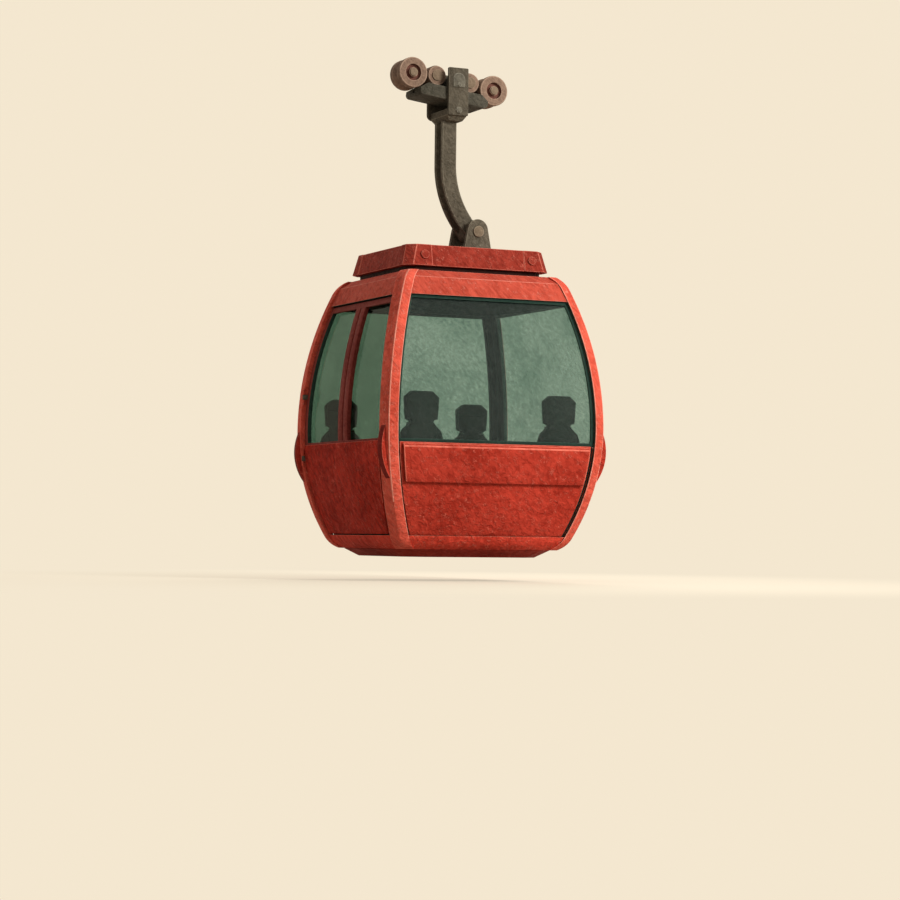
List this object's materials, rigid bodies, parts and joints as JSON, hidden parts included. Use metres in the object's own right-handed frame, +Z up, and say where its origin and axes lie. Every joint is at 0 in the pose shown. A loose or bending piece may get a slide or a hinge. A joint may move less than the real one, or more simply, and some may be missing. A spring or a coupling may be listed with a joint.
{
  "type": "cable car cabin",
  "caption": "Barrel-sided red cable car cabin with tinted windows, a hinged end door, a bent hanger arm and a sloping rope carriage with grooved wheels.",
  "frame": {"origin": "on the rope's axis, in the middle of the grip that clamps it", "axes": "+X along the rope's level direction, towards its lower side; +Y across it, away from the near wall; +Z up"},
  "size_m": [1.946, 1.89, 3.9796],
  "materials": {
    "cabin_red": "satin paint",
    "cabin_red_light": "satin paint",
    "end_red_dark": "satin paint",
    "door_trim": "dark satin paint",
    "inner_trim": "matt moulded lining",
    "window_frame": "dark gasket",
    "window_tint": "tinted",
    "seat_soft": "dark upholstery",
    "roof_dark": "dark satin paint",
    "hanger_metal": "dark satin paint",
    "carriage_green": "grey green paint",
    "wheel_tan": "worn tan face",
    "pin_metal": "dull steel"
  },
  "bodies": {
    "carriage": {"grip_body": "carriage_green", "grip_jaw": "carriage_green", "side_plate": "carriage_green", "pivot_shaft": "pin_metal"},
    "hanger": {"hanger_arm": "hanger_metal", "head_block": "hanger_metal", "head_plate_front": "hanger_metal", "head_plate_rear": "hanger_metal"},
    "cabin": {"band_front": "cabin_red", "band_rear": "cabin_red", "bench_front": "inner_trim", "bench_rear": "inner_trim", "bumper_front_left": "cabin_red_light", "bumper_front_right": "cabin_red_light", "bumper_rear_left": "cabin_red_light", "bumper_rear_right": "cabin_red_light", "clevis": "hanger_metal", "clevis_pin": "pin_metal", "floor_frame": "cabin_red", "lining_front": "inner_trim", "lining_rear": "inner_trim", "lining_right": "inner_trim", "panel_front": "cabin_red", "panel_rear": "cabin_red", "panel_right": "cabin_red", "post_front_left": "cabin_red_light", "post_front_right": "cabin_red_light", "post_hinge_lower": "hanger_metal", "post_hinge_upper": "hanger_metal", "post_rear_left": "cabin_red_light", "post_rear_right": "cabin_red_light", "roof_cap": "cabin_red", "roof_frame": "cabin_red_light", "roof_plinth": "roof_dark", "seat_back_front_left": "seat_soft", "seat_back_front_right": "seat_soft", "seat_back_rear_left": "seat_soft", "seat_back_rear_right": "seat_soft", "seat_cushion_front_left": "seat_soft", "seat_cushion_front_right": "seat_soft", "seat_cushion_rear_left": "seat_soft", "seat_cushion_rear_right": "seat_soft", "skid_pan": "end_red_dark", "window_frame_front": "window_frame", "window_frame_rear": "window_frame", "window_frame_right": "window_frame", "window_front": "window_tint", "window_rear": "window_tint", "window_right": "window_tint"},
    "door": {"door_skin": "end_red_dark", "door_frame": "door_trim", "door_hinge_lower": "hanger_metal", "door_hinge_upper": "hanger_metal", "door_window_front": "window_tint", "door_window_rear": "window_tint"},
    "sheave_uphill": {"sheave_uphill": "wheel_tan"},
    "roller_uphill": {"roller_uphill": "wheel_tan"},
    "roller_downhill": {"roller_downhill": "wheel_tan"},
    "sheave_downhill": {"sheave_downhill": "wheel_tan"}
  },
  "joints": [
    {"name": "hanger_swing", "type": "hinge", "parent": "carriage", "child": "hanger", "pos_m": [0.01471, 0, 0.11809], "axis": [0, 1, 0], "range_deg": [-17.9, 32.1]},
    {"name": "cabin_swing", "type": "hinge", "parent": "hanger", "child": "cabin", "pos_m": [0.21171, 0, -1.087], "axis": [0, 1, 0], "range_deg": [-12, 12]},
    {"name": "door_swing", "type": "hinge", "parent": "cabin", "child": "door", "pos_m": [-0.89829, 0.778, -2.685], "axis": [0, 0, 1], "range_deg": [-95, 0]},
    {"name": "sheave_uphill_turn", "type": "hinge", "parent": "carriage", "child": "sheave_uphill", "pos_m": [-0.34253, 0, 0.16258], "axis": [0, 1, 0], "continuous": true},
    {"name": "roller_uphill_turn", "type": "hinge", "parent": "carriage", "child": "roller_uphill", "pos_m": [-0.12968, 0, 0.15623], "axis": [0, 1, 0], "continuous": true},
    {"name": "roller_downhill_turn", "type": "hinge", "parent": "carriage", "child": "roller_downhill", "pos_m": [0.16405, 0, 0.11964], "axis": [0, 1, 0], "continuous": true},
    {"name": "sheave_downhill_turn", "type": "hinge", "parent": "carriage", "child": "sheave_downhill", "pos_m": [0.37195, 0, 0.07359], "axis": [0, 1, 0], "continuous": true}
  ]
}
